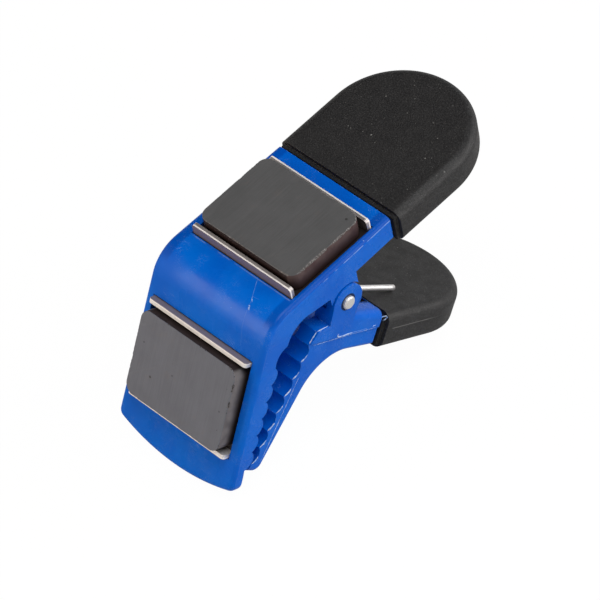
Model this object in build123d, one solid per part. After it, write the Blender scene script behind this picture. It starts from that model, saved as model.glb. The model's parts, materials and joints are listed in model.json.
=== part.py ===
from build123d import *
import os
from math import asin, atan2, cos, degrees, hypot, radians, sin, sqrt

# A spring clip with two ceramic magnets on its back.
#
# The clip is drawn about its pivot pin: the pin's axis is Y, +X runs along the upper handle
# towards its grip, and +Z is the way the upper handle's magnet looks. The last section turns
# the whole clip so that it stands on its jaw tip and on the end of its lower grip.
# Lengths are in millimetres and angles in degrees.

# ---- driving dimensions ----------------------------------------------------------------

# upper arm, which carries both magnets
pin_to_top = 12.9            # pin axis to the handle's top face
pin_to_end = 16.5            # pin axis to the end face in front of the grip
pin_to_bend = 21.94          # pin axis to the sharp corner that the bend rounds off
bend_radius = 10.0           # outside of the bend
jaw_angle = 61.0             # jaw face below the handle's top face
jaw_length = 46.94           # sharp corner to the middle of the front edge
body_width = 36.1            # across the side walls, at the bend
side_draft = 1.0             # each side leans out this much from end face to jaw tip
plate_thickness = 3.4        # handle plate, with the ribs' side walls below it
side_wall = 2.2              # thickness of the handle's side walls
rail_depth = 6.7             # side wall beside the grip, from the top face
throat_depth = 6.42          # side wall over the throat, from the top face
jaw_root_depth = 7.75        # side wall where the teeth start, from the jaw face
throat_radius = 6.95         # inside of the bend, seen from the side
throat_slope = 12.0          # the throat's roof falls towards the ears
tip_thickness = 3.8          # jaw tip, flat land behind the last tooth
tip_land = 6.4               # length of that land along the jaw
front_bow_radius = 54.0      # the front edge is an arc, seen square to the jaw
front_corner = 2.0           # rounding where the arc meets the sides
tip_rounding = 1.2           # inner edge of the tip
edge_rounding = 1.3          # top edges of the arm

# teeth, the same on both jaws
tooth_pitch = 4.35
tooth_height = 1.25
upper_first_valley = 12.3    # corner to the first full valley, along the jaw face
upper_valley_depth = 5.4     # the first valley below the jaw face
upper_tooth_taper = 3.9      # the tooth row closes on the jaw face towards the tip
first_bump_radius = 4.1      # the swelling ahead of the first valley

# pivot
pin_radius = 1.65
pin_stand_out = 0.75         # each end of the pin beyond the ears
pin_chamfer = 0.3
pin_seat_clearance = 0.02    # tight in the lower arm's ears
pin_run_clearance = 0.06     # free in the upper arm's ears
ear_radius = 4.5             # lower arm's ears, outside
lobe_radius = 4.3            # upper arm's ears, inside
ear_side_clearance = 0.25
ear_rim_clearance = 0.4
lower_ear_thickness = 2.25
lobe_thickness = 2.4

# lower arm, whose handle hangs below the upper one
handle_spread = 34.3         # lower handle below the upper one, jaws closed
lower_end = 14.9             # pin axis to its end face, along its own handle
shoulder_height_end = -5.5   # top of its side rails at the end face
shoulder_height_ear = -3.9   # and beside the ears
shoulder_start = 4.1         # where the rails leave the ears
step_height = -9.4           # line where the rails stand proud of the base
base_bottom_end = -14.55     # underside at the end face
base_bottom_slope = 3.0      # the underside climbs towards the pivot
ear_stand_out = 0.02         # ears and rails beyond the upper arm's sides, each side
base_step = 0.4              # base and jaw within those sides, each side
rail_width = 5.0             # each side rail
base_plate = 3.6             # floor between the rails
shoulder_rounding = 1.8
arch_radius = 12.1           # outside of the lower bend
lower_jaw_angle = 36.75      # its back, below the upper handle's top face
lower_tooth_angle = 41.7     # its tooth row
lower_crest = (-12.87, -2.99)      # first sharp crest, from the pin
lower_back_depth = 7.06      # that crest to the jaw's back
lower_root = (-9.8, -1.2)    # top of the jaw's root, ahead of the ears
lower_ear_foot = (-6.2, -2.6)      # where the root meets the ears
lower_tip_reach = 32.4       # that crest to the tip, along the tooth row
lower_tip_rounding = 2.4
root_bulge = 0.25            # the ramp from the root to the first crest
last_tooth_share = 0.6       # the tooth at the tip is this much of the others' height
last_tooth_bulge = 0.35      # and its flank is nearly straight
ear_left_angle = 18.2        # where the round ear leaves for the root
ear_right_angle = 17.5       # and for the rails

# grips, two rubber boots of one size
grip_overhang = 0.55         # beyond the upper arm's sides, each side
grip_height = 9.17
grip_start = 17.4            # pin axis to its mouth, along its handle
grip_end = 54.9              # pin axis to its round end
grip_rise = -0.3             # its top from the upper handle's top face
grip_edge = 2.4              # rounding of its long edges
grip_top_wall = 1.7
grip_side_wall = 2.2
lower_grip_seat = 1.0        # the lower grip is pushed on this much further
lower_grip_top = -6.65       # lower grip's top above the pin, along its own handle
tongue_height = 4.7
lip_inset = 1.1              # the boot's mouth steps in to meet the arm
boot_clearance = 0.05

# steel channels and ferrite blocks
channel_width = 25.4
channel_length = 30.7
channel_height = 4.4
channel_wall = 1.1
channel_bend = 0.9           # outside of its folded corners
channel_corner = 0.8         # rounded upper corners of its walls
pocket_depth = {"handle": 1.7, "jaw": 2.7}
pocket_clearance = 0.3
block_width = 22.0
block_length = 29.6
block_height = 5.2
block_corner = 2.6
block_chamfer = 0.2
handle_channel_start = 4.4   # end face to the channel, along the handle
handle_channel_shift = -0.6  # to one side, as glued
jaw_channel_inset = 10.79    # front edge to the channel, along the jaw
jaw_channel_shift = 0.2
glue_line = 0.02

# torsion spring
wire_radius = 0.675
coil_radius = 3.05           # to the middle of the wire
coil_length = 13.2           # between the middles of the end turns
coil_turns = 9
lower_leg_reach = 28.1       # pin axis to the leg's end, seen from the side
lower_leg_splay = 3.5        # the leg leans out sideways
upper_leg_reach = 16.6
upper_leg_splay = 1.2
leg_lead = 1.6               # straight wire between the coil and each leg's bend
leg_bend_radius = 8.0
leg_clearance = 0.04

root_fillet = 0.6
touching = 0.01              # closer than this counts as on the same spot

# widths and counts that follow from the dimensions above
ear_width = body_width + 2 * ear_stand_out
base_width = body_width - 2 * base_step
grip_width = body_width + 2 * grip_overhang
upper_tooth_count = int((jaw_length - tip_land - upper_first_valley) / tooth_pitch)
lower_crest_count = 1 + int(lower_tip_reach / tooth_pitch - last_tooth_share / 2)
jaw_channel_start = jaw_length - jaw_channel_inset - channel_width

# ---- helpers ---------------------------------------------------------------------------


def bearing(angle):
    """Unit step in the side view, as (x, z), at an angle from +X."""
    return cos(radians(angle)), sin(radians(angle))


def step(start, angle, length):
    """Point reached from start by going some length at an angle."""
    dx, dz = bearing(angle)
    return start[0] + length * dx, start[1] + length * dz


def crossing(p, angle_p, q, angle_q):
    """Point where two straight lines meet."""
    (ax, az), (bx, bz) = bearing(angle_p), bearing(angle_q)
    reach = ((q[0] - p[0]) * bz - (q[1] - p[1]) * bx) / (ax * bz - az * bx)
    return step(p, angle_p, reach)


def side_slab(outline, inner, outer):
    """Extrude a side view from Y = inner to Y = outer."""
    return extrude(Plane.XZ.offset(-outer) * outline, amount=outer - inner)


def both_sides(outline, inner, outer):
    """The same slab on the left and on the right."""
    right = side_slab(outline, inner, outer)
    return right + mirror(right, about=Plane.XZ)


def middle_slab(outline, width):
    return side_slab(outline, -width / 2, width / 2)


def arc_to(start, end, sagitta):
    """Arc between two points that bulges to the left of the way from start to end."""
    mid = ((start[0] + end[0]) / 2, (start[1] + end[1]) / 2)
    run = hypot(end[0] - start[0], end[1] - start[1])
    left = (-(end[1] - start[1]) / run, (end[0] - start[0]) / run)
    crown = (mid[0] + sagitta * left[0], mid[1] + sagitta * left[1])
    return ThreePointArc(start, crown, end)


def half_plane(point, heading):
    """Everything in the side view to the right of a line, seen along its heading."""
    reach = 10 * pin_to_end
    return Pos(*point) * Rot(0, 0, heading) * Pos(0, -reach / 2) * Rectangle(reach, reach)


def edges_through(part, spots):
    """Edges of a part that pass through any of some points."""
    return [
        edge
        for edge in part.edges()
        if any(edge.distance_to(Vertex(*spot)) < touching for spot in spots)
    ]


# ---- side view of the upper arm --------------------------------------------------------

jaw_heading = 180 + jaw_angle          # along the jaw, towards its tip
inward = jaw_heading + 90              # square to the jaw face, towards the lower jaw
corner = (-pin_to_bend, pin_to_top)
upper_end_top = (pin_to_end, pin_to_top)
face_tip = step(corner, jaw_heading, jaw_length)
land_tip = step(face_tip, inward, tip_thickness)
land_start = step(land_tip, jaw_heading + 180, tip_land)


def on_jaw(along, depth):
    """Point of the upper jaw's side view: along its face, and below it."""
    return step(step(corner, jaw_heading, along), inward, depth)


tooth_heading = jaw_heading - upper_tooth_taper
upper_valleys = [
    step(on_jaw(upper_first_valley, upper_valley_depth), tooth_heading, tooth_pitch * i)
    for i in range(upper_tooth_count + 1)
]
throat_centre_z = pin_to_top - throat_depth - throat_radius
throat_centre_x = crossing(
    on_jaw(0, jaw_root_depth + throat_radius), jaw_heading, (0, throat_centre_z), 0
)[0]
throat_centre = (throat_centre_x, throat_centre_z)
throat_end = step(throat_centre, inward + 180, throat_radius)
throat_crown = step(throat_centre, 135, throat_radius)
throat_brow = step(throat_centre, 90 - throat_slope, throat_radius)
throat_start = crossing(throat_brow, -throat_slope, (-lobe_radius, 0), 90)
rail_z = pin_to_top - rail_depth
ceiling_z = pin_to_top - plate_thickness


def upper_outside():
    return FilletPolyline(upper_end_top, corner, face_tip, radius=bend_radius)


def upper_side_view():
    lines = [upper_outside(), Line(face_tip, land_tip), Line(land_tip, land_start)]
    lines.append(Line(land_start, upper_valleys[-1]))
    for deeper, nearer in zip(upper_valleys[:0:-1], upper_valleys[-2::-1]):
        lines.append(arc_to(deeper, nearer, -tooth_height))
    lines.append(RadiusArc(upper_valleys[0], throat_end, first_bump_radius))
    lines.append(ThreePointArc(throat_end, throat_crown, throat_brow))
    lines.append(Line(throat_brow, throat_start))
    lines.append(Line(throat_start, (-lobe_radius, 0)))
    lines.append(ThreePointArc((-lobe_radius, 0), (0, -lobe_radius), (lobe_radius, 0)))
    lines.append(Line((lobe_radius, 0), (lobe_radius, rail_z)))
    lines.append(Line((lobe_radius, rail_z), (pin_to_end, rail_z)))
    lines.append(Line((pin_to_end, rail_z), upper_end_top))
    return make_face(lines)


def upper_hollow_view():
    """Space between the side walls, below the plate and round the bend."""
    inner_end = pin_to_end - side_wall
    inner_corner = crossing(on_jaw(0, plate_thickness), jaw_heading, (0, ceiling_z), 0)
    root = on_jaw(upper_first_valley - tooth_pitch, plate_thickness)
    below = step(root, inward, jaw_length)
    ceiling = FilletPolyline(
        (inner_end, ceiling_z), inner_corner, root, radius=bend_radius - plate_thickness
    )
    floor_z = below[1]
    lines = [ceiling, Line(root, below), Line(below, (inner_end, floor_z))]
    lines.append(Line((inner_end, floor_z), (inner_end, ceiling_z)))
    return make_face(lines)


# ---- widths, from the middle outwards --------------------------------------------------

half_ears = ear_width / 2
ear_inner = half_ears - lower_ear_thickness
lobe_outer = ear_inner - ear_side_clearance
lobe_inner = lobe_outer - lobe_thickness
arm_tip_x = on_jaw(jaw_length, 0)[0]


def plan_half_width(x):
    """Half the width of the upper arm: its sides lean out towards the jaw."""
    at_bend = body_width / 2
    return at_bend + side_draft * (-pin_to_bend - x) / (pin_to_end - arm_tip_x)


def grip_plan(inset=0.0, start=grip_start):
    """Plan of a grip, or of what lies inset within it: straight sides and a round end."""
    radius = grip_width / 2 - inset
    centre = grip_end - grip_width / 2
    sides = Polyline((centre, radius), (start, radius), (start, -radius), (centre, -radius))
    return make_face([sides, ThreePointArc((centre, -radius), (centre + radius, 0), (centre, radius))])


def tongue(end_x, top_z):
    """Core that a grip is pushed onto, from an arm's end face outwards."""
    outline = grip_plan(grip_side_wall + boot_clearance, start=end_x)
    core = extrude(Pos(0, 0, top_z - tongue_height) * outline, amount=tongue_height)
    return fillet(core.edges().group_by(Axis.Z)[-1].filter_by(GeomType.CIRCLE), root_fillet)


def make_boot(top_z):
    """Rubber boot: a rounded shell with a round end and a stepped mouth."""
    body = extrude(Pos(0, 0, top_z - grip_height) * grip_plan(start=grip_start + lip_inset), grip_height)
    rim = body.faces().sort_by(Axis.X)[0]
    mouth = [edge.center() for edge in rim.edges()]
    long_edges = [
        edge
        for edge in body.edges().group_by(Axis.Z)[0] + body.edges().group_by(Axis.Z)[-1]
        if all((edge.center() - point).length > touching for point in mouth)
    ]
    body = fillet(long_edges, grip_edge)
    lip_top = top_z - lip_inset
    lip_plan = grip_plan(lip_inset)
    lip_front = lip_plan & Pos(grip_start + lip_inset, 0) * Rectangle(2 * lip_inset, grip_width)
    lip = extrude(Pos(0, 0, lip_top - grip_height + 2 * lip_inset) * lip_front, grip_height - 2 * lip_inset)
    socket_top = top_z - grip_top_wall
    socket_plan = grip_plan(grip_side_wall, start=grip_start - lip_inset)
    socket_height = tongue_height + 2 * boot_clearance
    socket = extrude(Pos(0, 0, socket_top - socket_height) * socket_plan, socket_height)
    return body + lip - socket


# ---- seats of the magnets --------------------------------------------------------------


def seat_planes():
    """Planes on the two seats: x across the channel, y along it, z away from the arm."""
    handle_x = pin_to_end - handle_channel_start - channel_width / 2
    handle = Plane((handle_x, handle_channel_shift, pin_to_top), x_dir=(-1, 0, 0), z_dir=(0, 0, 1))
    along, _ = bearing(jaw_heading)
    middle = on_jaw(jaw_channel_start + channel_width / 2, 0)
    face_x, face_z = bearing(inward + 180)
    jaw = Plane(
        (middle[0], jaw_channel_shift, middle[1]),
        x_dir=(along, 0, bearing(jaw_heading)[1]),
        z_dir=(face_x, 0, face_z),
    )
    return {"handle": handle, "jaw": jaw}


def pocket(depth):
    """Recess that a channel is glued into, on a seat plane."""
    width = channel_width + 2 * pocket_clearance
    length = channel_length + 2 * pocket_clearance
    return Pos(0, 0, -depth / 2) * Box(width, length, depth)


def make_channel(depth):
    """Folded steel channel, open at both ends, in a pocket of a seat plane."""
    bottom = glue_line - depth
    outline = Rectangle(channel_width, channel_height)
    outline = fillet(outline.vertices().group_by(Axis.Y)[0], channel_bend)
    inside = Pos(0, channel_wall) * Rectangle(channel_width - 2 * channel_wall, channel_height)
    section = Plane.XZ * Pos(0, bottom + channel_height / 2) * (outline - inside)
    channel = extrude(section, amount=channel_length / 2, both=True)
    corners = [
        edge
        for edge in channel.edges().filter_by(Axis.X).group_by(Axis.Z)[-1]
        if edge.length < 2 * channel_wall
    ]
    return fillet(corners, channel_corner)


def make_block(depth):
    """Ferrite block between the walls of a channel in a pocket."""
    bottom = 2 * glue_line - depth + channel_wall
    plan = fillet(Rectangle(block_width, block_length).vertices(), block_corner)
    block = extrude(Pos(0, 0, bottom) * plan, block_height)
    return chamfer(block.faces().sort_by(Axis.Z)[-1].edges(), block_chamfer)


# ---- the upper arm ---------------------------------------------------------------------


def round_upper_arm(arm):
    """Round the front corners, the rim of the outer skin and the inside of the jaw tip."""
    corners = [edge for edge in arm.edges() if abs(edge.length - tip_thickness) < touching]
    arm = fillet([edge for edge in corners if abs(edge.center().Y) > front_corner], front_corner)
    skin = [edge @ 0.5 for edge in upper_outside().edges()]
    rim = [(spot.X, side * plan_half_width(spot.X), spot.Y) for spot in skin for side in (-1, 1)]
    arm = fillet(edges_through(arm, rim), edge_rounding)
    return fillet(edges_through(arm, [(land_tip[0], 0, land_tip[1])]), tip_rounding)


def make_upper_arm():
    widest = body_width + 2 * side_draft
    arm = middle_slab(upper_side_view(), widest)

    # the sides lean in towards the grip, and the front edge is bowed
    end_x, tip_x = pin_to_end, arm_tip_x - tip_thickness
    plan = make_face(
        Polyline(
            (end_x, plan_half_width(end_x)),
            (tip_x, plan_half_width(tip_x)),
            (tip_x, -plan_half_width(tip_x)),
            (end_x, -plan_half_width(end_x)),
            close=True,
        )
    )
    arm = arm & extrude(Pos(0, 0, -2 * jaw_length) * plan, 4 * jaw_length)
    jaw_plane = Plane(
        (corner[0], 0, corner[1]),
        x_dir=(bearing(jaw_heading)[0], 0, bearing(jaw_heading)[1]),
        z_dir=(bearing(inward + 180)[0], 0, bearing(inward + 180)[1]),
    )
    disc = Pos(jaw_length - front_bow_radius, 0) * Circle(front_bow_radius)
    beyond = Pos(jaw_length, 0) * Rectangle(4 * tip_thickness, 2 * widest)
    front_cut = jaw_plane * extrude(Pos(0, 0, -2 * tip_thickness) * (beyond - disc), 4 * tip_thickness)
    arm = arm - front_cut
    arm = round_upper_arm(arm)

    # the hollow between the side walls, with a closed end in front of the grip
    hollow_width = 2 * (plan_half_width(pin_to_end) - side_wall)
    arm = arm - middle_slab(upper_hollow_view(), hollow_width)

    # ears inside the lower arm's ears, with a round recess for those beside them
    lobe_height = ceiling_z + root_fillet
    lobe_plate = Pos(0, lobe_height / 2) * Rectangle(2 * lobe_radius, lobe_height)
    arm = arm - both_sides(Circle(ear_radius + ear_rim_clearance), lobe_outer, widest)
    arm = arm + both_sides(lobe_plate + Circle(lobe_radius), lobe_inner, lobe_outer)
    arm = arm - middle_slab(Circle(pin_radius + pin_run_clearance), widest)

    for end, seat in seat_planes().items():
        arm = arm - seat * pocket(pocket_depth[end])
    arm = arm + tongue(pin_to_end, pin_to_top + grip_rise - grip_top_wall)
    return arm


# ---- the lower arm ---------------------------------------------------------------------

lower_heading = -handle_spread


def on_lower(along, height):
    """Point of the side view from the lower handle's own axes at the pin."""
    return step(step((0, 0), lower_heading, along), lower_heading + 90, height)


lower_tooth_heading = 180 + lower_tooth_angle
lower_back_heading = 180 + lower_jaw_angle
lower_crests = [
    step(lower_crest, lower_tooth_heading, tooth_pitch * i) for i in range(lower_crest_count)
]
back_start = step(lower_crest, lower_tooth_heading + 90, lower_back_depth)
base_heading = lower_heading + 180 - base_bottom_slope
base_end = on_lower(lower_end, base_bottom_end)
arch_corner = crossing(base_end, base_heading, back_start, lower_back_heading)
lower_tip = step(lower_crest, lower_tooth_heading, lower_tip_reach)
tip_back = crossing(lower_tip, lower_tooth_heading + 90, back_start, lower_back_heading)
tip_top = step(lower_tip, lower_tooth_heading - 90, tooth_height * last_tooth_share)


def lower_outside():
    radii = [arch_radius, lower_tip_rounding]
    return FilletPolyline(base_end, arch_corner, tip_back, tip_top, radius=radii)


def lower_side_view():
    rail_end = on_lower(lower_end, shoulder_height_end)
    rail_start = on_lower(shoulder_start, shoulder_height_ear)
    ear_left = step((0, 0), 180 - ear_left_angle, ear_radius)
    ear_right = step((0, 0), lower_heading - ear_right_angle, ear_radius)
    lines = [lower_outside()]
    lines.append(arc_to(tip_top, lower_crests[-1], -last_tooth_bulge))
    for deeper, nearer in zip(lower_crests[:0:-1], lower_crests[-2::-1]):
        lines.append(arc_to(deeper, nearer, -tooth_height))
    lines.append(arc_to(lower_crests[0], lower_root, -root_bulge))
    lines.append(Line(lower_root, lower_ear_foot))
    lines.append(Line(lower_ear_foot, ear_left))
    lines.append(ThreePointArc(ear_left, (0, ear_radius), ear_right))
    lines.append(Line(ear_right, rail_start))
    lines.append(Line(rail_start, rail_end))
    lines.append(Line(rail_end, base_end))
    return make_face(lines)


def lower_hollow_view():
    """Space between the rails, above the floor and behind the first tooth."""
    floor_line = step(base_end, base_heading - 90, base_plate)
    past_end = on_lower(lower_end + base_plate, 0)
    floor_end = crossing(floor_line, base_heading, past_end, lower_heading + 90)
    back_line = step(back_start, lower_back_heading - 90, base_plate)
    floor_corner = crossing(floor_line, base_heading, back_line, lower_back_heading)
    floor_far = step(floor_corner, lower_back_heading, lower_tip_reach)
    floor = FilletPolyline(floor_end, floor_corner, floor_far, radius=arch_radius + base_plate)
    top_z = 3 * ear_radius
    lines = [floor, Line(floor_far, (floor_far[0], top_z))]
    lines.append(Line((floor_far[0], top_z), (floor_end[0], top_z)))
    lines.append(Line((floor_end[0], top_z), floor_end))
    return make_face(lines) & half_plane(lower_crest, lower_tooth_heading - 90)


def round_lower_arm(arm):
    """Round the rails' shoulders and the rim of the base and jaw."""
    skin = [edge @ 0.5 for edge in lower_outside().edges()]
    rim = [(spot.X, side * base_width / 2, spot.Y) for spot in skin for side in (-1, 1)]
    arm = fillet(edges_through(arm, rim), edge_rounding)
    rail_x, rail_z = on_lower(lower_end, shoulder_height_end)
    start_x, start_z = on_lower(shoulder_start, shoulder_height_ear)
    middle = (rail_x + start_x) / 2, (rail_z + start_z) / 2
    shoulders = [(middle[0], side * ear_width / 2, middle[1]) for side in (-1, 1)]
    return fillet(edges_through(arm, shoulders), shoulder_rounding)


def make_lower_arm():
    outline = lower_side_view()
    above_step = half_plane(on_lower(0, step_height), lower_heading + 180)
    upper_part = outline & above_step
    lower_part = outline - above_step
    rails = middle_slab(upper_part, ear_width)
    rails = rails - middle_slab(lower_hollow_view(), ear_width - 2 * rail_width)
    base = middle_slab(lower_part, base_width)
    base = base - middle_slab(lower_hollow_view(), ear_width - 2 * rail_width)

    # room for the upper arm's ears, then the pin's hole
    swing = Circle(lobe_radius + ear_rim_clearance)
    rails = rails - middle_slab(swing, 2 * ear_inner)
    arm = round_lower_arm(rails + base)
    arm = arm - middle_slab(Circle(pin_radius + pin_seat_clearance), 2 * ear_width)
    core = tongue(lower_end + lower_grip_seat, lower_grip_top - grip_top_wall)
    return arm + Rot(0, handle_spread, 0) * Pos(-lower_grip_seat, 0, 0) * core


# ---- pin and spring --------------------------------------------------------------------


def make_pin():
    length = ear_width + 2 * pin_stand_out
    pin = Rot(90, 0, 0) * Cylinder(pin_radius, length)
    return chamfer(pin.edges().filter_by(GeomType.CIRCLE), pin_chamfer)


def wire_leg(leave, heading, tip):
    """Straight leg of the spring, with the slight bend where it leaves the coil."""
    bend = leave + heading * leg_lead
    path = FilletPolyline(leave, bend, tip, radius=leg_bend_radius)
    return sweep(Plane(leave, z_dir=heading) * Circle(wire_radius), path=path)


def make_spring():
    # the lower leg rests on the lower grip, the upper one under the upper arm's plate
    half = coil_length / 2
    low_height = lower_grip_top + wire_radius + leg_clearance
    low_along = sqrt(lower_leg_reach**2 - low_height**2)
    low_x, low_z = on_lower(low_along, low_height)
    low_lift = degrees(atan2(low_height, low_along) + asin(coil_radius / lower_leg_reach))
    low_leave = lower_heading + low_lift - 90
    high_z = ceiling_z - wire_radius - leg_clearance
    high_x = sqrt(upper_leg_reach**2 - high_z**2)
    high_leave = 90 + degrees(asin(high_z / upper_leg_reach) - asin(coil_radius / upper_leg_reach))

    turns = coil_turns + (low_leave - high_leave) % 360 / 360
    start_x, start_z = bearing(high_leave)
    frame = Plane((0, half, 0), x_dir=(start_x, 0, start_z), z_dir=(0, -1, 0))
    path = frame * Helix(pitch=coil_length / turns, height=coil_length, radius=coil_radius)
    coil = sweep(Plane(path @ 0, z_dir=path % 0) * Circle(wire_radius), path=path, is_frenet=True)
    low_leg = wire_leg(path @ 1, path % 1, Vector(low_x, -half - lower_leg_splay, low_z))
    high_leg = wire_leg(path @ 0, path % 0 * -1, Vector(high_x, half + upper_leg_splay, high_z))
    return coil + low_leg + high_leg


# ---- the pieces, about the pin ---------------------------------------------------------


def make_pieces():
    seats = seat_planes()
    lower_turn = Rot(0, handle_spread, 0)
    return {
        "upper_arm": make_upper_arm(),
        "lower_arm": make_lower_arm(),
        "upper_grip": make_boot(pin_to_top + grip_rise),
        "lower_grip": lower_turn * Pos(-lower_grip_seat, 0, 0) * make_boot(lower_grip_top),
        "pivot_pin": make_pin(),
        "torsion_spring": make_spring(),
        "handle_channel": seats["handle"] * make_channel(pocket_depth["handle"]),
        "jaw_channel": seats["jaw"] * make_channel(pocket_depth["jaw"]),
        "handle_magnet": seats["handle"] * make_block(pocket_depth["handle"]),
        "jaw_magnet": seats["jaw"] * make_block(pocket_depth["jaw"]),
    }


# ---- standing on the table -------------------------------------------------------------


def standing_tilt():
    """Angle that brings the rounded jaw tip and the lower grip's end onto one level."""
    tip = step(step(land_tip, jaw_heading + 180, tip_rounding), inward + 180, tip_rounding)
    heel_along = grip_end - lower_grip_seat - grip_edge
    heel = on_lower(heel_along, lower_grip_top - grip_height + grip_edge)
    dx, dz = heel[0] - tip[0], tip[1] - heel[1]
    return degrees(atan2(dz, dx) - asin((tip_rounding - grip_edge) / hypot(dx, dz)))


def place(pieces):
    """Turn the clip onto its two feet, with the origin below the middle of its box."""
    turned = {name: Rot(0, -standing_tilt(), 0) * piece for name, piece in pieces.items()}
    box = Compound(list(turned.values())).bounding_box()
    shift = Pos(-(box.min.X + box.max.X) / 2, -(box.min.Y + box.max.Y) / 2, -box.min.Z)
    return {name: shift * piece for name, piece in turned.items()}, shift


def main():
    placed, shift = place(make_pieces())
    os.makedirs("parts", exist_ok=True)
    for name, piece in placed.items():
        export_step(piece, f"parts/{name}.step")
    print("standing tilt", round(standing_tilt(), 3), "pivot at", shift.position)


if __name__ == "__main__":
    main()
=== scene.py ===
import json
import math
from types import SimpleNamespace

import bmesh
import bpy
from mathutils import Matrix, Vector, noise


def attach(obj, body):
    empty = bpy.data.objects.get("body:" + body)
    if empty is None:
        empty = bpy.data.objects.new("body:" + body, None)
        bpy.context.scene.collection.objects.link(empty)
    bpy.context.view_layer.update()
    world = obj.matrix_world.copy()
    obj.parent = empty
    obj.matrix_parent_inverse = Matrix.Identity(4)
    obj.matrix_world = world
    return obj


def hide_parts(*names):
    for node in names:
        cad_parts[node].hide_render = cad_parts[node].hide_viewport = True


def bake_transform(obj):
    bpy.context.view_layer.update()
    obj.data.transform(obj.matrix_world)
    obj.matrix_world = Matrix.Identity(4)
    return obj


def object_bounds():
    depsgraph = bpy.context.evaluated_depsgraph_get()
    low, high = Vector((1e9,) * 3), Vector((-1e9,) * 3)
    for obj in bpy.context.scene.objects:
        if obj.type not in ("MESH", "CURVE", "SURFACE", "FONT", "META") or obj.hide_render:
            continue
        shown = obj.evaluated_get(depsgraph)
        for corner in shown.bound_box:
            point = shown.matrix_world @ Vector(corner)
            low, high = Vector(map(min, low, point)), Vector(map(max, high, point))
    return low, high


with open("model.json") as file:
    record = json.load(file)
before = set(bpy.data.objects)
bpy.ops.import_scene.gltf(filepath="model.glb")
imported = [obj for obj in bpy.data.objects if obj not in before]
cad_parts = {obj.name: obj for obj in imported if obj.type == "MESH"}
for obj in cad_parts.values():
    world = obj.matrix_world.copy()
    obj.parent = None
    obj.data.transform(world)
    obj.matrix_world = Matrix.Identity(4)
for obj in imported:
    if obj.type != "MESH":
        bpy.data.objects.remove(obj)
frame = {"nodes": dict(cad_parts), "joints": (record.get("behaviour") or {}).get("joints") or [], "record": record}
CAD_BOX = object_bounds()

# Looks of a magnetic spring clip: blue moulded arms, black rubber grips, ferrite magnets in
# steel channels, a pin and a torsion spring. Places on the clip are given in millimetres about
# the pin: x along the upper handle towards its grip, y along the pin, z out of the handle's face.

MM = 0.001
PIVOT = Vector(frame["joints"][0]["pos_m"])
MOUNTS = {mount["name"]: mount for mount in frame["record"]["mounts"]}
OUT = Vector(MOUNTS["handle_magnet_face"]["axis"]).normalized()
GRIP = Vector((OUT.z, 0, -OUT.x))
ACROSS = Vector((0, 1, 0))
TILT = math.atan2(GRIP.z, GRIP.x)

# the clip's sizes, in millimetres and degrees
HANDLE_SPREAD = 34.3         # lower handle below the upper one, jaws closed
JAW_TURN = -61               # turn of the axes that sets z square to the jaw's face
JAW_FACE = 25.44             # jaw face from the pin, along that z
HANDLE_FACE = 12.9           # handle's top face from the pin
PLATE = 3.4                  # thickness of the handle's plate
BEND_CENTRE = (-16.05, 2.9)  # axis of the bend between handle and jaw, as (x, z)
BEND_CORNER = -21.94         # sharp corner that the bend rounds off, along x
BODY_SIDE = 18.05            # middle plane to the upper arm's side faces, at that corner
SIDE_DRAFT = 1 / 61          # slope at which these faces close towards the grip
EAR_SIDE = 18.07             # middle plane to the outer face of the lower arm's ears and rails
BASE_SIDE = 17.65            # and to the side of its base and jaw
LOWER_TOOTH_ANGLE = 41.7     # the lower jaw's tooth row, below the upper handle
LOWER_CREST = (-12.87, -2.99)  # its first crest, as (x, z)
LOWER_CRESTS = 8
TOOTH_PITCH = 4.35
TOOTH_HEIGHT = 1.25
GRIP_MOUTH = 17.4            # upper grip's mouth from the pin
LOWER_GRIP_SEAT = 1.0        # the lower grip is pushed on this much further
LOWER_GRIP_TOP = -6.65       # its top above the pin, along the lower handle's axes
LOWER_PARTING = -10.4        # and the line where its mould parts
CHANNEL_HALF = 12.7          # middle of a channel to the outside of its walls
CHANNEL_WALL = 1.1
CHANNEL_SHIFT = -0.6         # the handle's channel to one side, as glued
LEG_CLEARANCE = 0.04         # spring's legs to the arms

# lights
HORIZON, ZENITH = 1.05, 0.02
PINK = (1.0, 0.80, 0.66)
WARM = (1.0, 0.76, 0.46)
PALE = (1.0, 0.97, 0.95)

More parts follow.
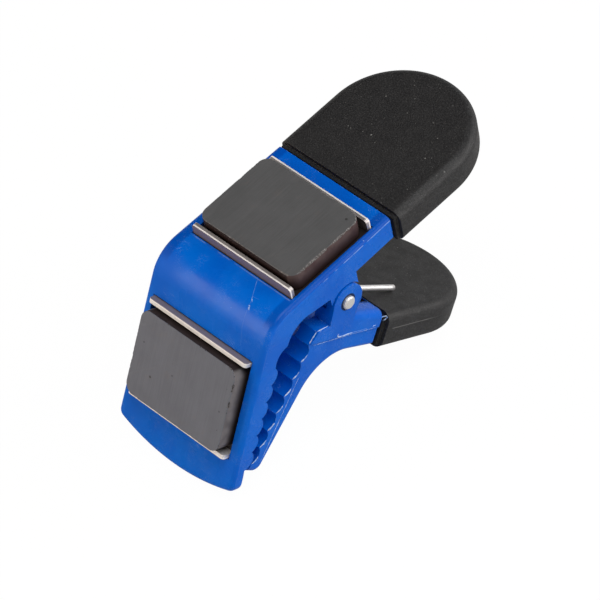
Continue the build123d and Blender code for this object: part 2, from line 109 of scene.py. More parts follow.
# each magnet with its channel; the colours come in pairs, dark and pale
MAGNETS = (
    SimpleNamespace(
        name="handle_ferrite", node="handle_magnet", mount="handle_magnet_face", slot="ferrite",
        turn=0, seed=3.0, wear=0.16,
        ground=((0.074, 0.077, 0.080), (0.096, 0.099, 0.104)), rust=(0.12, 0.095, 0.08),
        fired=((0.070, 0.040, 0.040), (0.100, 0.068, 0.066)),
        chipped=((0.06, 0.052, 0.05), (0.24, 0.23, 0.225)),
        shade=(17.4, 12.6), pits=((8.0, -13.1, 0.32),),
        # the handle channel's tint is darker than the jaw channel's: painted shade on the same steel
        channel="handle_channel", tint=(0.56, 0.52, 0.51), middle=-0.6, metallic=0.85,
    ),
    SimpleNamespace(
        name="jaw_ferrite", node="jaw_magnet", mount="jaw_magnet_face", slot="ferrite_jaw",
        turn=JAW_TURN, seed=11.0, wear=0.05,
        # the jaw magnet's colours are a paler, bluer copy of the handle magnet's: painted light on the same
        # ferrite
        ground=((0.1022, 0.11242, 0.14016), (0.12848, 0.14162, 0.17374)),
        rust=(0.1752, 0.1387, 0.1168),
        fired=((0.13, 0.12, 0.12), (0.19, 0.175, 0.175)),
        chipped=((0.02, 0.018, 0.018), (0.15, 0.14, 0.14)),
        shade=(JAW_FACE + 2.2, JAW_FACE - 0.6),
        pits=((-19.65, 12.5, 0.2), (-26.7, 8.6, 0.3), (-22.9, 2.6, 0.2), (-23.5, -12.5, 0.2)),
        # a pale tint that is less metallic: painted light on the same steel as the handle channel
        channel="jaw_channel", tint=(0.92, 0.91, 0.91), middle=-22.8, metallic=0.35,
    ),
)
BLOCK_CORNER = 2.6           # rounding of a magnet's upright corners

# threads of moulding flash, as (along, height) on the lower handle's axes
RAIL = ((-7.8, -9.75), (-4, -9.65), (0, -9.5), (6, -9.35), (11, -9.3), (13.8, -9.2))
HOOK = ((0.5, -8.35), (0.15, -8.75), (0.45, -9.15), (1.6, -9.2), (3.4, -9.05), (5.6, -8.95))
THREAD = ((5.6, -8.95), (8.0, -8.95), (10.4, -8.9))
DASH = ((12.3, -8.75), (13.4, -8.55))
# on the side of the jaw's root, as (x, z)
RAMP = ((-12.6, -2.7), (-11.2, -1.75), (-9.9, -1.15))
ROOT = ((-9.7, -1.2), (-8.0, -1.85), (-6.4, -2.5))
# the open curl beside the lower grip, as (along, y, height)
CURL = (
    (14.6, -17.7, -7.3), (14.9, -18.2, -6.6), (15.6, -18.5, -6.4),
    (16.2, -18.5, -6.9), (16.1, -18.2, -7.6), (15.6, -18.0, -7.9),
)


def at(x, y, z):
    """Place on the clip, from its own millimetres to the frame's metres."""
    return PIVOT + (GRIP * x + ACROSS * y + OUT * z) * MM


def heading(angle):
    """Unit step in the side view, at an angle above the upper handle, as (x, z)."""
    return math.cos(math.radians(angle)), math.sin(math.radians(angle))


def on_lower_handle(along, y, height):
    """Place given from the lower handle's axes at the pin."""
    (dx, dz), (ux, uz) = heading(-HANDLE_SPREAD), heading(90 - HANDLE_SPREAD)
    return at(along * dx + height * ux, y, along * dz + height * uz)


def on_lower_teeth(along, y, back):
    """Place given from the lower jaw's first crest: along the teeth, and behind them."""
    (dx, dz), (bx, bz) = heading(180 + LOWER_TOOTH_ANGLE), heading(270 + LOWER_TOOTH_ANGLE)
    x, z = LOWER_CREST
    return at(x + along * dx + back * bx, y, z + along * dz + back * bz)


# ---- camera, lights and floor ----------------------------------------------------------


def make_camera():
    """Camera fitted to the straight edges in the photo."""
    right = GRIP * 0.69110638 - ACROSS * 0.70856493 - OUT * 0.14250512
    up = GRIP * 0.62118065 + ACROSS * 0.48152890 + OUT * 0.61827544
    back = right.cross(up)
    data = bpy.data.cameras.new("camera")
    data.sensor_width = 36
    data.lens = 260.46
    data.clip_start, data.clip_end = 0.05, 20
    camera = bpy.data.objects.new("camera", data)
    bpy.context.scene.collection.objects.link(camera)
    turn = Matrix((right, up, back)).transposed().to_4x4()
    camera.matrix_world = Matrix.Translation(at(-362.5, -506.5, 745.3)) @ turn
    bpy.context.scene.camera = camera


def softbox(name, azimuth, elevation, distance, size, radiance, colour=(1, 1, 1)):
    """Area light that looks at the clip, with its brightness given as radiance."""
    a, e = math.radians(azimuth), math.radians(elevation)
    back = Vector((math.cos(a) * math.cos(e), math.sin(a) * math.cos(e), math.sin(e)))
    data = bpy.data.lights.new(name, "AREA")
    data.shape = "RECTANGLE"
    data.size, data.size_y = size
    data.energy = radiance * math.pi * size[0] * size[1]
    data.color = colour
    lamp = bpy.data.objects.new(name, data)
    bpy.context.scene.collection.objects.link(lamp)
    lamp.rotation_mode = "QUATERNION"
    lamp.rotation_quaternion = back.to_track_quat("Z", "Y")
    lamp.location = PIVOT + back * distance


def make_floor():
    """Pale floor that reads as white in the picture and keeps a faint shadow."""
    bpy.ops.mesh.primitive_plane_add(size=6, location=(0, 0, CAD_BOX[0].z))
    floor = bpy.context.object
    floor.name = "floor"
    look = Look("floor")
    grain = look.remap(look.cloud(40, 2.0), 0.3, 0.7, 0.53, 0.56)
    plain = look.node("BsdfDiffuse", {"Color": grain})
    white = look.node("Emission", {"Strength": 1.03})
    seen = look.node("LightPath").outputs
    shares = (("Is Camera Ray", 0.95), ("Is Glossy Ray", 0.08), ("Is Transmission Ray", 0.95))
    share = look.sum(*(look.scale(seen[ray], part) for ray, part in shares))
    mix = look.node("MixShader", {"Fac": share})
    look.tree.links.new(plain.outputs[0], mix.inputs[1])
    look.tree.links.new(white.outputs[0], mix.inputs[2])
    look.tree.links.new(mix.outputs[0], look.tree.nodes["Material Output"].inputs["Surface"])
    floor.data.materials.append(look.material)


def make_world():
    """Room that is pale along the floor and dark overhead, and white where the camera sees it."""
    world = bpy.data.worlds.new("world")
    world.use_nodes = True
    nodes, links = world.node_tree.nodes, world.node_tree.links
    split = nodes.new("ShaderNodeSeparateXYZ")
    links.new(nodes.new("ShaderNodeTexCoord").outputs["Generated"], split.inputs[0])
    fade = nodes.new("ShaderNodeMapRange")
    fade.interpolation_type = "SMOOTHSTEP"
    links.new(split.outputs[2], fade.inputs["Value"])
    limits = (("From Min", 0.08), ("From Max", 0.42), ("To Min", HORIZON), ("To Max", ZENITH))
    for socket, value in limits:
        fade.inputs[socket].default_value = value
    choose = nodes.new("ShaderNodeMix")
    links.new(nodes.new("ShaderNodeLightPath").outputs["Is Camera Ray"], choose.inputs["Factor"])
    links.new(fade.outputs["Result"], choose.inputs["A"])
    choose.inputs["B"].default_value = 1.0
    background = nodes["Background"]
    background.inputs["Color"].default_value = (1, 1, 1, 1)
    links.new(choose.outputs["Result"], background.inputs["Strength"])
    bpy.context.scene.world = world


def make_stage():
    bpy.context.scene.view_settings.view_transform = "Standard"
    make_camera()
    make_world()
    make_floor()
    softbox("left_softbox", 143, 24, 0.9, (0.34, 0.42), 6.3, PINK)
    softbox("left_fill", 150, 6, 0.9, (1.0, 0.26), 1.15, WARM)
    softbox("right_softbox", -50, 24, 0.9, (1.0, 0.6), 2.75, PALE)
    softbox("top_softbox", -110, 75, 1.0, (0.6, 0.6), 5.2)


# ---- materials -------------------------------------------------------------------------


class Look:
    """One procedural material, with short calls that add its nodes and link them."""

    def __init__(self, name):
        self.material = bpy.data.materials.new(name)
        self.material.use_nodes = True
        self.tree = self.material.node_tree
        self.shader = self.tree.nodes["Principled BSDF"]
        self.here = None

    def feed(self, socket, value):
        if isinstance(value, bpy.types.NodeSocket):
            self.tree.links.new(value, socket)
        else:
            socket.default_value = value

    def node(self, kind, sockets=None, **settings):
        made = self.tree.nodes.new("ShaderNode" + kind)
        for key, value in settings.items():
            setattr(made, key, value)
        for key, value in (sockets or {}).items():
            self.feed(made.inputs[key], value)
        return made

    def surface(self, **sockets):
        for key, value in sockets.items():
            self.feed(self.shader.inputs[key.replace("_", " ")], value)

    def mapped(self, **own):
        return self.node("Mapping", own, vector_type="TEXTURE").outputs[0]

    def clip_mm(self):
        """The clip's own millimetres, the same in every pose."""
        if self.here is None:
            place = self.node("TexCoord").outputs["Object"]
            self.here = self.mapped(
                Vector=place, Location=PIVOT, Rotation=(0, -TILT, 0), Scale=(MM, MM, MM))
        return self.here

    def axes(self, turn=None):
        """x, y and z in millimetres, along axes that may be turned downward about the pin."""
        place = self.clip_mm()
        if turn is not None:
            place = self.mapped(Vector=place, Rotation=(0, math.radians(turn), 0))
        return self.node("SeparateXYZ", {"Vector": place}).outputs

    def stretched(self, turn, size):
        """Coordinates turned by some degrees about each axis and counted in grains of a size."""
        turn = [math.radians(angle) for angle in turn]
        return self.mapped(Vector=self.clip_mm(), Rotation=turn, Scale=size)

    def math(self, kind, first, second=0.0):
        made = self.node("Math", operation=kind)
        self.feed(made.inputs[0], first)
        self.feed(made.inputs[1], second)
        return made.outputs[0]

    def chain(self, kind, values):
        total = values[0]
        for value in values[1:]:
            total = self.math(kind, total, value)
        return total

    def sum(self, *values):
        return self.chain("ADD", values)

    def product(self, *values):
        return self.chain("MULTIPLY", values)

    def highest(self, *values):
        return self.chain("MAXIMUM", values)

    def scale(self, value, factor):
        return self.math("MULTIPLY", value, factor)

    def apart(self, value, middle):
        """Distance of a value from a middle."""
        return self.math("ABSOLUTE", self.math("SUBTRACT", value, middle))

    def measure(self, kind, first, second):
        """Number that a vector node gives."""
        made = self.node("VectorMath", operation=kind)
        self.feed(made.inputs[0], first)
        self.feed(made.inputs[1], second)
        return made.outputs[1]

    def remap(self, value, low, high, to_low=0.0, to_high=1.0):
        sockets = {"Value": value, "From Min": low, "From Max": high}
        sockets.update({"To Min": to_low, "To Max": to_high})
        return self.node("MapRange", sockets, interpolation_type="SMOOTHSTEP").outputs["Result"]

    def mix(self, share, first, second):
        made = self.node("Mix", data_type="RGBA")
        self.feed(made.inputs[0], share)
        self.feed(made.inputs[6], (*first, 1) if isinstance(first, tuple) else first)
        self.feed(made.inputs[7], (*second, 1) if isinstance(second, tuple) else second)
        return made.outputs[2]

    def cloud(self, size, detail=2.0, place=None):
        sockets = {"Vector": place or self.clip_mm(), "Scale": 1 / size, "Detail": detail}
        return self.node("TexNoise", sockets).outputs[0]

    def specks(self, spacing, share, radius):
        """Round specks on a share of the cells of a spacing, in millimetres."""
        cells = self.node("TexVoronoi", {"Vector": self.clip_mm(), "Scale": 1 / spacing})
        split = self.node("SeparateColor", {"Color": cells.outputs["Color"]})
        chosen = self.remap(split.outputs[0], 1 - share, 1 - share * 0.9)
        size = self.scale(split.outputs[1], radius / spacing)
        return self.product(chosen, self.math("LESS_THAN", cells.outputs["Distance"], size))

    def rounded(self, radius):
        """Normal that rounds every edge off by a radius in millimetres."""
        fixed = not isinstance(radius, bpy.types.NodeSocket)
        reach = radius * MM if fixed else self.scale(radius, MM)
        return self.node("Bevel", {"Radius": reach}, samples=6).outputs[0]

    def edges(self, radius):
        """1 on sharp edges."""
        plain = self.node("NewGeometry").outputs["Normal"]
        likeness = self.measure("DOT_PRODUCT", self.rounded(radius), plain)
        return self.remap(likeness, 0.985, 0.80)

    def relief(self, height, normal=None):
        """Normal of a bumpy surface, from heights in millimetres."""
        made = self.node("Bump", {"Height": height, "Distance": MM})
        if normal is not None:
            self.feed(made.inputs["Normal"], normal)
        self.feed(self.shader.inputs["Normal"], made.outputs[0])


def hairlines(look, turns, long, thin, low, high):
    """Fine straight scratches in several directions."""
    grains = [look.cloud(1, 0.0, look.stretched(turn, (long, thin, thin))) for turn in turns]
    return look.highest(*(look.remap(grain, low, high) for grain in grains))


def bend_scratch(look, start, end, y_start, y_end, width):
    """A scratch that runs over the bend, between two angles round its axis."""
    place = look.axes()
    x = look.math("SUBTRACT", place[0], BEND_CENTRE[0])
    z = look.math("SUBTRACT", place[2], BEND_CENTRE[1])
    angle = look.math("ARCTAN2", z, x)
    sockets = {"Value": angle, "From Min": math.radians(start), "From Max": math.radians(end)}
    sockets.update({"To Min": y_start, "To Max": y_end})
    wanted = look.node("MapRange", sockets, clamp=False).outputs["Result"]
    line = look.remap(look.apart(place[1], wanted), width, width * 0.4)
    reach = look.apart(angle, math.radians((start + end) / 2))
    return look.product(line, look.math("LESS_THAN", reach, math.radians(end - start) / 2))


def bend_marks(look):
    """Two long scratches over the bend, the flecks beside them and a short one across."""
    faint = look.remap(look.cloud(1.6, 2.0), 0.3, 0.6)
    first = look.product(bend_scratch(look, 77, 106, -6.0, -9.0, 0.10), look.scale(faint, 0.32))
    last = look.product(bend_scratch(look, 106, 166, -9.0, -11.2, 0.08), look.scale(faint, 0.14))
    flecks = look.highest(bend_scratch(look, 103, 108, -8.7, -9.3, 0.20),
                          bend_scratch(look, 113, 119, -9.3, -9.9, 0.26))
    flecks = look.product(flecks, look.remap(look.cloud(0.35, 2.0), 0.40, 0.5))
    cross = bend_scratch(look, 100, 102, -10.4, -8.4, 0.10)
    return look.highest(first, last, look.scale(flecks, 0.85), look.scale(cross, 0.4))


def side_gap(look):
    """Distance inward from the upper arm's side face."""
    x, y, _ = look.axes()
    half = look.sum(look.scale(x, -SIDE_DRAFT), BODY_SIDE + BEND_CORNER * SIDE_DRAFT)
    return look.math("SUBTRACT", half, look.math("ABSOLUTE", y))


def side_shade_band(look):
    """Painted shade on the strip of the handle's top, between the magnet and the side."""
    gap = side_gap(look)
    on_handle = look.remap(look.axes()[2], 10.5, 12.0)
    return look.product(look.remap(gap, 0.02, 0.12), look.remap(gap, 3.4, 2.6), on_handle)


def edge_highlight_and_knocks(look):
    """Broken pale line, a painted highlight where the arm's rounded top edge meets its side, with a few knocks of
    wear.
    """
    gap = side_gap(look)
    line = look.product(look.remap(gap, 0.010, 0.025), look.remap(gap, 0.10, 0.06))
    broken = look.remap(look.cloud(2.4, 4.0), 0.40, 0.58)
    knocks = look.product(look.remap(gap, 1.0, 0.5), look.specks(1.1, 0.10, 0.22))
    knocks = look.product(knocks, look.remap(gap, 0.0, 0.03))
    return look.highest(look.product(line, broken), knocks)


def pocket_rim_highlight(look):
    """Painted highlight along the rim of the handle's pocket, beside the channel."""
    x, y, z = look.axes()
    line = look.product(look.remap(look.apart(x, -13.95), 0.13, 0.06), look.remap(z, 12.2, 12.5))
    long = look.remap(look.apart(y, CHANNEL_SHIFT), 15.8, 15.4)
    return look.product(line, long, look.remap(look.cloud(3, 3.0), 0.36, 0.55))


def pin_shade_ring(look):
    """Painted shade in a ring round the pin, on the outer faces of the ears."""
    x, y, z = look.axes()
    flat = look.node("CombineXYZ", {"X": x, "Z": z}).outputs[0]
    ring = look.remap(look.measure("LENGTH", flat, (0, 0, 0)), 2.28, 2.12)
    return look.product(ring, look.math("GREATER_THAN", look.math("ABSOLUTE", y), 15))


def blue_plastic(name, upper):
    """Blue moulded plastic, with the scratches, specks, painted highlights and painted shade of the upper or of
    the lower arm.
    """
    look = Look(name)
    cloud = look.cloud(11, 3.0)
    colour = look.mix(look.remap(cloud, 0.35, 0.65), (0.0, 0.112, 0.60), (0.0, 0.136, 0.655))
    hairs = hairlines(look, ((8, 35, 20), (60, -20, 75), (-30, 10, 140)), 9, 0.09, 0.74, 0.80)
    hairs = look.product(hairs, look.remap(look.cloud(6, 2.0), 0.45, 0.62))
    rough = look.remap(look.cloud(4, 3.0), 0.3, 0.7, 0.22, 0.31)
    marks_and_highlights = look.scale(hairs, 0.30)
    if upper:
        x, y, z = look.axes()
        # painted highlight along the side edge, with knocks of wear, stronger towards the grip
        rim = look.product(edge_highlight_and_knocks(look), look.remap(x, -12, -4, 0.06, 0.42))
        # painted highlight on the pocket's rim
        pocket_highlight = look.scale(pocket_rim_highlight(look), 0.3)
        marks_and_highlights = look.highest(marks_and_highlights, bend_marks(look), rim, pocket_highlight)
        # painted shade on the handle's top beside the magnet
        colour = look.mix(look.scale(side_shade_band(look), 0.55), colour, (0.0, 0.045, 0.34))
        # duller below the handle's face on the far side
        sunk = look.product(look.remap(y, 8, 14), look.remap(z, 12.7, 11.5))
        rough = look.sum(rough, look.scale(sunk, 0.3))
    dust = look.specks(1.7, 0.16, 0.13)
    # pale edges: partly wear, partly painted edge highlight
    worn = look.product(look.edges(0.25), look.remap(look.cloud(0.6, 3.0), 0.56, 0.68))
    pale = look.highest(marks_and_highlights, look.scale(dust, 0.5), look.scale(worn, 0.5))
    colour = look.mix(pale, colour, (0.46, 0.60, 0.84))
    if not upper:
        # painted shade round the pin
        colour = look.mix(look.scale(pin_shade_ring(look), 0.95), colour, (0.0, 0.008, 0.04))
    rough = look.sum(rough, look.scale(marks_and_highlights, 0.2))
    look.surface(Base_Color=colour, Roughness=rough, IOR=1.5, Specular_IOR_Level=0.135)
    radius = 0.14
    if not upper:
        # softer edges on the shoulders behind the pin
        along, _, height = look.axes(HANDLE_SPREAD)
        shoulder = look.product(look.remap(along, 3.6, 4.6), look.remap(height, -7.6, -6.4))
        radius = look.sum(look.scale(shoulder, 1.5), 0.14)
    peel = look.scale(look.cloud(1.1, 1.0), 0.004)
    fine = look.scale(look.cloud(0.25, 1.0), 0.0008)
    cuts = look.scale(marks_and_highlights, -0.004)
    look.relief(look.sum(peel, fine, cuts), look.rounded(radius))
    return look.material


def grip_rubber(name, turn, mouth, parting=None):
    """Black rubber boot with dust, painted shade at its mouth and, at a height, a parting line."""
    look = Look(name)
    fine = look.cloud(0.36, 3.0)
    grain = look.remap(fine, 0.38, 0.66)
    colour = look.mix(grain, (0.0024, 0.0024, 0.0028), (0.0175, 0.0175, 0.0188))
    drift = look.remap(look.cloud(9, 2.0), 0.42, 0.70)
    dust = look.highest(look.specks(0.9, 0.35, 0.17), look.specks(2.9, 0.40, 0.24))
    dust = look.product(dust, look.remap(drift, 0, 1, 0.20, 0.75))
    lint = hairlines(look, ((10, 20, 50), (0, 70, 120)), 2.2, 0.09, 0.74, 0.78)
    worn = look.product(look.edges(0.3), look.remap(look.cloud(0.9, 2.0), 0.45, 0.7))
    pale = look.highest(dust, look.scale(worn, 0.10), look.scale(lint, 0.25))
    colour = look.mix(pale, colour, (0.26, 0.26, 0.25))
    along, across, height = look.axes(turn)
    if parting is not None:
        thread = look.remap(look.apart(height, parting), 0.13, 0.05)
        side = look.remap(look.math("ABSOLUTE", across), 17.8, 18.2)
        run = look.product(look.remap(along, 38, 30), look.remap(along, 19, 20))
        thread = look.product(thread, side, run)
        colour = look.mix(look.scale(thread, 0.30), colour, (0.40, 0.39, 0.38))
    # painted shade at the boot's mouth, also rougher there
    mouth_shade = look.remap(along, mouth + 0.40, mouth + 0.15)
    colour = look.mix(look.scale(mouth_shade, 0.9), colour, (0.002, 0.0012, 0.0012))
    rough = look.sum(look.remap(look.cloud(3, 2.0), 0.3, 0.7, 0.50, 0.58), look.scale(mouth_shade, 0.3))
    look.surface(Base_Color=colour, Roughness=rough, IOR=1.5, Specular_IOR_Level=0.5)
    swell = look.scale(look.cloud(2.5, 1.0), 0.012)
    look.relief(look.sum(look.scale(fine, 0.036), swell), look.rounded(0.25))
    return look.material


def ground_ferrite(magnet):
    """The magnet's ground face, with grinding lines, pits, rust and a few light specks."""
    look = Look(magnet.name + "_ground")
    turn = (0, magnet.turn, 0)
    lines = look.cloud(1, 3.0, look.stretched(turn, (8, 0.075, 6)))
    broad = look.cloud(1, 1.0, look.stretched(turn, (30, 0.9, 6)))
    cloud = look.cloud(5, 3.0)
    shade = look.sum(look.scale(lines, 0.62), look.scale(broad, 0.12), look.scale(cloud, 0.26))
    colour = look.mix(look.remap(shade, 0.38, 0.62), *magnet.ground)
    x, y, _ = look.axes(magnet.turn)
    flat = look.node("CombineXYZ", {"X": x, "Y": y}).outputs[0]
    pits = look.specks(1.3, 0.10, 0.14)
    for pit_x, pit_y, radius in magnet.pits:
        reach = look.measure("DISTANCE", flat, (pit_x, pit_y, 0))
        pits = look.highest(pits, look.remap(reach, radius * 1.3, radius * 0.7))
    rust = look.product(look.remap(look.cloud(2.6, 3.0), 0.60, 0.72), look.remap(lines, 0.5, 0.6))
    light = look.specks(1.9, 0.12, 0.09)
    colour = look.mix(look.scale(rust, 0.35), colour, magnet.rust)
    colour = look.mix(look.scale(pits, 0.8), colour, (0.02, 0.018, 0.018))
    colour = look.mix(look.scale(light, 0.8), colour, (0.42, 0.41, 0.40))
    look.surface(Base_Color=colour, Roughness=look.remap(lines, 0.3, 0.7, 0.40, 0.50))
    look.relief(look.sum(look.scale(lines, 0.004), look.scale(pits, -0.03)))
    return look.material


def fired_ferrite(magnet):
    """The magnet's fired sides, with painted shade: darker down between the channel's walls and dark on the ends
    that face them.
    """
    look = Look(magnet.name + "_fired")
    colour = look.mix(look.remap(look.cloud(3.0, 3.0), 0.30, 0.70), *magnet.fired)
    _, y, z = look.axes(magnet.turn)
    # painted shade on the ends that face the walls and down between them
    wall_shade = look.remap(look.math("ABSOLUTE", y), 14.0, 13.2)
    shaded = look.highest(look.remap(z, *magnet.shade), wall_shade)
    colour = look.mix(look.scale(shaded, 0.93), colour, (0.010, 0.003, 0.003))
    flecks = look.remap(look.cloud(0.35, 3.0), 0.68, 0.76)
    colour = look.mix(look.scale(flecks, 0.3), colour, (0.2, 0.18, 0.17))
    look.surface(Base_Color=colour, Roughness=0.6, Specular_IOR_Level=0.2)
    look.relief(look.scale(look.cloud(0.5, 3.0), 0.02))
    return look.material


def chipped_ferrite(magnet):
    """Broken ferrite, where the magnet's upper edges are chipped."""
    look = Look(magnet.name + "_chipped")
    colour = look.mix(look.remap(look.cloud(0.3, 4.0), 0.44, 0.66), *magnet.chipped)
    look.surface(Base_Color=colour, Roughness=0.45)
    look.relief(look.scale(look.cloud(0.35, 4.0), 0.12))
    return look.material


def steel(name, tint, turn, rough, edge, metallic=1.0, middle=None):
    """Drawn steel, with painted highlights on its edges. Given a middle, it is a channel: a painted reflection on
    the outer faces of its walls, a painted highlight on their top rim and painted shade within.
    """
    look = Look(name)
    drawn = look.cloud(1, 3.0, look.stretched(turn, (0.12, 9, 0.12)))
    patch = look.cloud(2.2, 3.0)
    dull = look.remap(look.sum(look.scale(drawn, 0.6), look.scale(patch, 0.4)), 0.38, 0.64)
    colour = look.mix(dull, tint, tuple(channel * 0.8 for channel in tint))
    # painted highlight on the sharp edges
    colour = look.mix(look.scale(look.edges(edge), 0.7), colour, (0.95, 0.93, 0.92))
    spots = look.specks(1.4, 0.12, 0.16)
    colour = look.mix(look.scale(spots, 0.5), colour, (0.16, 0.11, 0.09))
    if middle is not None:
        aside = look.apart(look.axes(turn[1])[0], middle)
        outer = look.remap(aside, CHANNEL_HALF - 0.08, CHANNEL_HALF - 0.02)
        rim = look.remap(aside, CHANNEL_HALF - 0.45, CHANNEL_HALF - 0.35)
        rim = look.product(rim, look.math("SUBTRACT", 1.0, outer))
        wall = CHANNEL_HALF - CHANNEL_WALL
        inside_shade = look.remap(aside, wall + 0.04, wall - 0.04)
        # painted reflection on the walls' outer faces, a painted highlight on their top rim and painted shade
        # within the channel; these faces are less metallic
        colour = look.mix(look.scale(outer, 0.9), colour, (0.165, 0.13, 0.15))
        colour = look.mix(look.scale(rim, 0.9), colour, (0.95, 0.92, 0.90))
        colour = look.mix(look.scale(inside_shade, 0.94), colour, (0.02, 0.012, 0.01))
        lit = look.highest(outer, look.scale(rim, 1.3))
        metallic = look.remap(lit, 0, 1.3, metallic, 0.0)
    worn = look.remap(dull, 0, 1, rough, rough + 0.12)
    look.surface(Base_Color=colour, Metallic=metallic, Roughness=worn)
    look.relief(look.scale(drawn, 0.004), look.rounded(edge))
    return look.material


def flash_plastic(name, colour):
    """Thin moulding flash, paler than the solid plastic because light goes through it."""
    look = Look(name)
    tone = look.remap(look.cloud(0.6, 3.0), 0.35, 0.65)
    pale = tuple(0.5 + 0.5 * channel for channel in colour)
    look.surface(Base_Color=look.mix(tone, colour, pale), Roughness=0.35)
    look.relief(look.scale(look.cloud(0.3, 2.0), 0.03))
    return look.material


def soften(node, width):
    """Small real rounding on a CAD node's sharp edges."""
    modifier = frame["nodes"][node].modifiers.new("softened", "BEVEL")
    modifier.width = width * MM
    modifier.segments = 3
    modifier.limit_method = "ANGLE"
    modifier.angle_limit = math.radians(40)


def paint(node, material):
    for slot in frame["nodes"][node].material_slots:
        slot.material = material


# ---- new pieces ------------------------------------------------------------------------


def loft(name, rings):
    """Closed skin over rings of points, each with the same number of points."""
    built = bmesh.new()
    loops = [[built.verts.new(point) for point in ring] for ring in rings]
    count = len(loops[0])
    for low, high in zip(loops, loops[1:]):
        for i in range(count):
            j = (i + 1) % count
            built.faces.new((low[i], low[j], high[j], high[i]))
    built.faces.new(list(reversed(loops[0])))
    built.faces.new(loops[-1])
    bmesh.ops.recalc_face_normals(built, faces=built.faces)
    for face in built.faces:
        face.smooth = True
    mesh = bpy.data.meshes.new(name)
    built.to_mesh(mesh)
    built.free()
    made = bpy.data.objects.new(name, mesh)
    bpy.context.scene.collection.objects.link(made)
    return made


def tube_rings(points, radius_at, sides):
    """Rings of a tube along points, turned as little as possible from one to the next."""
    rings = []
    across = None
    last = len(points) - 1
    for i, point in enumerate(points):
        ahead = (points[min(i + 1, last)] - points[max(i - 1, 0)]).normalized()
        if across is None:
            across = ahead.orthogonal().normalized()
        across = (across - ahead * across.dot(ahead)).normalized()
        other = ahead.cross(across)
        radius = radius_at(i / last)
        angles = [2 * math.pi * k / sides for k in range(sides)]
        steps = [across * math.cos(a) + other * math.sin(a) for a in angles]
        rings.append([point + step * radius for step in steps])
    return rings


def bead(name, points, radius, body, material, seed):
    """Uneven thread of flash along points, half sunk in the surface, fading at its ends."""
    fine = []
    for first, second in zip(points, points[1:]):
        steps = max(2, int((second - first).length / (0.35 * MM)))
        fine += [first.lerp(second, k / steps) for k in range(steps)]
    fine.append(points[-1])

    def radius_at(share):
        wobble = noise.noise(Vector((share * len(fine) * 0.35, seed, 0.7)))
        fade = min(1.0, 12 * share, 12 * (1 - share))
        return max(0.015, radius * (1 + 0.9 * wobble) * fade) * MM

    made = loft(name, tube_rings(fine, radius_at, 6))
    made.data.materials.append(material)
    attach(made, body)


def extent(node, axis):
    """Lowest and highest reach of a CAD node along an axis."""
    reach = [vertex.co.dot(axis) for vertex in frame["nodes"][node].data.vertices]
    return min(reach), max(reach)


def rounded_outline(half_a, half_b, radius, spacing):
    """Points round a rectangle with rounded corners, evenly spaced, with outward steps."""
    points = []
    corners = ((1, 1, 0), (-1, 1, 90), (-1, -1, 180), (1, -1, 270))
    for index, (sa, sb, start) in enumerate(corners):
        centre = Vector((sa * (half_a - radius), sb * (half_b - radius)))
        turns = max(6, int(radius * math.pi / 2 / spacing))
        for k in range(turns):
            outward = Vector(heading(start + 90 * k / turns))
            points.append((centre + outward * radius, outward))
        outward = Vector(heading(start + 90))
        side = 2 * (half_b if index % 2 else half_a) - 2 * radius
        runs = max(2, int(side / spacing))
        ahead = Vector((-outward.y, outward.x))
        begin = centre + outward * radius
        points += [(begin + ahead * side * k / runs, outward) for k in range(runs)]
    return points


def make_magnet(magnet):
    """Ferrite block with ground top, fired sides and edges chipped unevenly."""
    node, slot = magnet.node, magnet.slot
    out = Vector(MOUNTS[magnet.mount]["axis"]).normalized()
    along = Vector((out.z, 0, -out.x))
    a0, a1 = extent(node, along)
    b0, b1 = extent(node, ACROSS)
    base, top = extent(node, out)
    middle = along * (a0 + a1) / 2 + ACROSS * (b0 + b1) / 2
    outline = rounded_outline((a1 - a0) / 2 / MM, (b1 - b0) / 2 / MM, BLOCK_CORNER, 0.22)

    def ring(spots, heights):
        return [middle + along * spot.x * MM + ACROSS * spot.y * MM + out * height
                for spot, height in zip(spots, heights)]

    # how far the chips reach inward and down at each point; near is 1 on the side we look at
    inset, drop = [], []
    for point, outward in outline:
        near = max(0.0, -outward.y)
        coarse = noise.noise(Vector((point.x * 0.31, point.y * 0.31, magnet.seed)))
        fine = noise.noise(Vector((point.x * 1.3, point.y * 1.3, magnet.seed + 7)))
        sharp = noise.noise(Vector((point.x * 4.1, point.y * 4.1, magnet.seed + 13)))
        chip = max(0.0, coarse + 0.5 * fine + 0.35 * sharp - 0.10 + 3 * magnet.wear * near)
        inset.append(0.07 + 0.05 * abs(sharp) + min(chip, 0.5) * (0.25 + 0.15 * near))
        drop.append(0.07 + 0.06 * abs(fine) + min(chip, 0.5) * (0.35 + 0.55 * near))

    stages = ((1.0, 0.0), (0.72, 0.18), (0.30, 0.55), (0.0, 1.0))
    rings = []
    for inward, downward in stages:
        spots = [point - outward * w * inward for (point, outward), w in zip(outline, inset)]
        rings.append(ring(spots, [top - d * downward * MM for d in drop]))
    for height in (top - 1.9 * MM, base):
        rings.append(ring([point for point, _ in outline], [height] * len(outline)))
    made = loft(magnet.name, rings)
    for material in (ground_ferrite(magnet), fired_ferrite(magnet), chipped_ferrite(magnet)):
        made.data.materials.append(material)
    count = len(outline)
    for face in made.data.polygons:
        if face.index >= count * (len(rings) - 1):
            face.material_index = 0
            face.use_smooth = False
        elif face.index >= count * (len(stages) - 1):
            face.material_index = 1
        else:
            face.material_index = 2 if inset[face.index % count] > 0.13 else 0
    made.data.set_sharp_from_angle(angle=math.radians(28))
    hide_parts(node)
    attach(made, "upper")


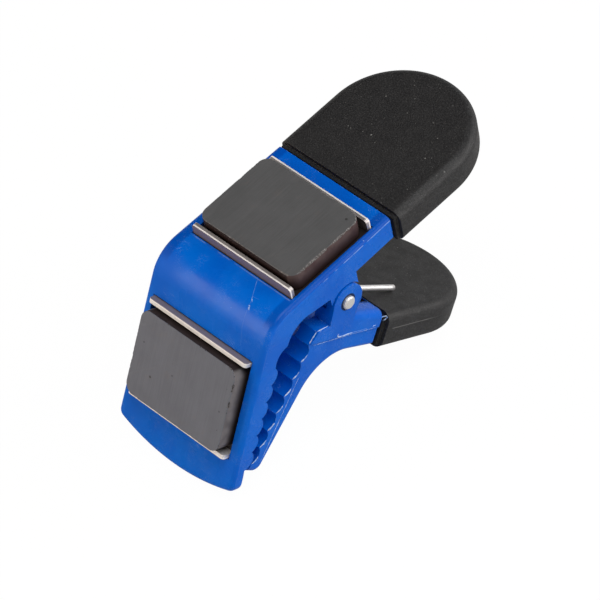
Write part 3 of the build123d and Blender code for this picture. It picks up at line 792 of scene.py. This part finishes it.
def make_spring(material):
    """Torsion spring: a close coil round the pin, with a leg against each arm."""
    wire, coil, half, turns = 0.70, 3.05, 6.6, 9
    lower_reach, upper_reach = 28.1, 16.6
    lower_splay, upper_splay = 3.5, 1.2
    lower_height = LOWER_GRIP_TOP + wire + LEG_CLEARANCE
    lower_along = math.sqrt(lower_reach**2 - lower_height**2)
    lift = math.atan2(lower_height, lower_along) + math.asin(coil / lower_reach)
    low_leave = -HANDLE_SPREAD + math.degrees(lift) - 90
    upper_z = HANDLE_FACE - PLATE - wire - LEG_CLEARANCE
    upper_x = math.sqrt(upper_reach**2 - upper_z**2)
    lift = math.asin(upper_z / upper_reach) - math.asin(coil / upper_reach)
    high_leave = 90 + math.degrees(lift)
    whole = turns + ((low_leave - high_leave) % 360) / 360
    tip = at(upper_x, half + upper_splay, upper_z)
    x, z = heading(high_leave)
    begin = at(coil * x, half, coil * z)
    points = [tip.lerp(begin, share) for share in (0.0, 0.01, 0.1, 0.3, 0.5, 0.7, 0.9)]
    steps = int(whole * 40)
    for k in range(steps + 1):
        share = k / steps
        x, z = heading(high_leave + 360 * whole * share)
        points.append(at(coil * x, half - 2 * half * share, coil * z))
    end = on_lower_handle(lower_along, -half - lower_splay, lower_height)
    begin = points[-1]
    points += [begin.lerp(end, share) for share in (0.05, 0.2, 0.4, 0.6, 0.8, 0.95, 0.995, 1.0)]

    def radius_at(share):
        return wire * MM * (0.8 if share in (0.0, 1.0) else 1.0)

    made = loft("spring_wire", tube_rings(points, radius_at, 14))
    made.data.materials.append(material)
    made.data.set_sharp_from_angle(angle=math.radians(50))
    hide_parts("torsion_spring")
    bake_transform(made)


def make_flash(material):
    """Moulding flash on the lower arm's near and far sides; the pale beads on the tooth crests are partly painted
    highlights.
    """

    def flash(name, points, radius, seed):
        bead(name, points, radius, "lower", material, seed)

    for side, y in (("near", -1), ("far", 1)):
        jaw = y * BASE_SIDE
        # pale beads along the tooth crests: partly flash, partly painted highlights on the crests
        for i in range(LOWER_CRESTS - 1):
            points = []
            for k in range(5):
                share = 0.52 + 0.46 * k / 4
                sag = TOOTH_HEIGHT * (1 - (2 * share - 1) ** 2)
                points.append(on_lower_teeth(TOOTH_PITCH * (i + share), jaw, sag))
            flash(f"tooth_flash_{side}_{i + 1}", points, 0.13, i + y)
        flash(f"ramp_flash_{side}", [at(x, jaw, z) for x, z in RAMP], 0.11, 3.3 * y)
        flash(f"root_flash_{side}", [at(x, jaw, z) for x, z in ROOT], 0.15, 5.1 * y)
        back = [on_lower_teeth(along, jaw, 1.85 + 0.0415 * along) for along in (8, 15, 22, 29.5)]
        flash(f"jaw_flash_{side}", back, 0.05, 8.2 * y)
        rail = [on_lower_handle(along, y * EAR_SIDE, height) for along, height in RAIL]
        flash(f"rail_flash_{side}", rail, 0.03, 9.4 * y)
    for name, run, radius in (("hook", HOOK, 0.12), ("thread", THREAD, 0.02), ("dash", DASH, 0.07)):
        run = [on_lower_handle(along, -EAR_SIDE, height) for along, height in run]
        flash(f"flash_{name}", run, radius, 1.7)
    flash("flash_curl", [on_lower_handle(*place) for place in CURL], 0.09, 2.9)


make_stage()
paint("upper_arm", blue_plastic("blue_upper", True))
paint("lower_arm", blue_plastic("blue_lower", False))
paint("upper_grip", grip_rubber("rubber_upper", 0, GRIP_MOUTH))
lower_mouth = GRIP_MOUTH - LOWER_GRIP_SEAT
paint("lower_grip", grip_rubber("rubber_lower", HANDLE_SPREAD, lower_mouth, LOWER_PARTING))
paint("pivot_pin", steel("pin_steel", (0.86, 0.85, 0.83), (0, 0, 0), 0.38, 0.3, 0.7))
soften("pivot_pin", 0.12)
for magnet in MAGNETS:
    look = (magnet.tint, (0, magnet.turn, 0), 0.38, 0.1, magnet.metallic, magnet.middle)
    paint(magnet.channel, steel(magnet.channel + "_steel", *look))
    soften(magnet.channel, 0.26)
for magnet in MAGNETS:
    make_magnet(magnet)
make_spring(steel("wire_steel", (0.96, 0.95, 0.95), (0, 35, 90), 0.28, 0.1, 0.85))
make_flash(flash_plastic("blue_flash", (0.22, 0.42, 0.80)))
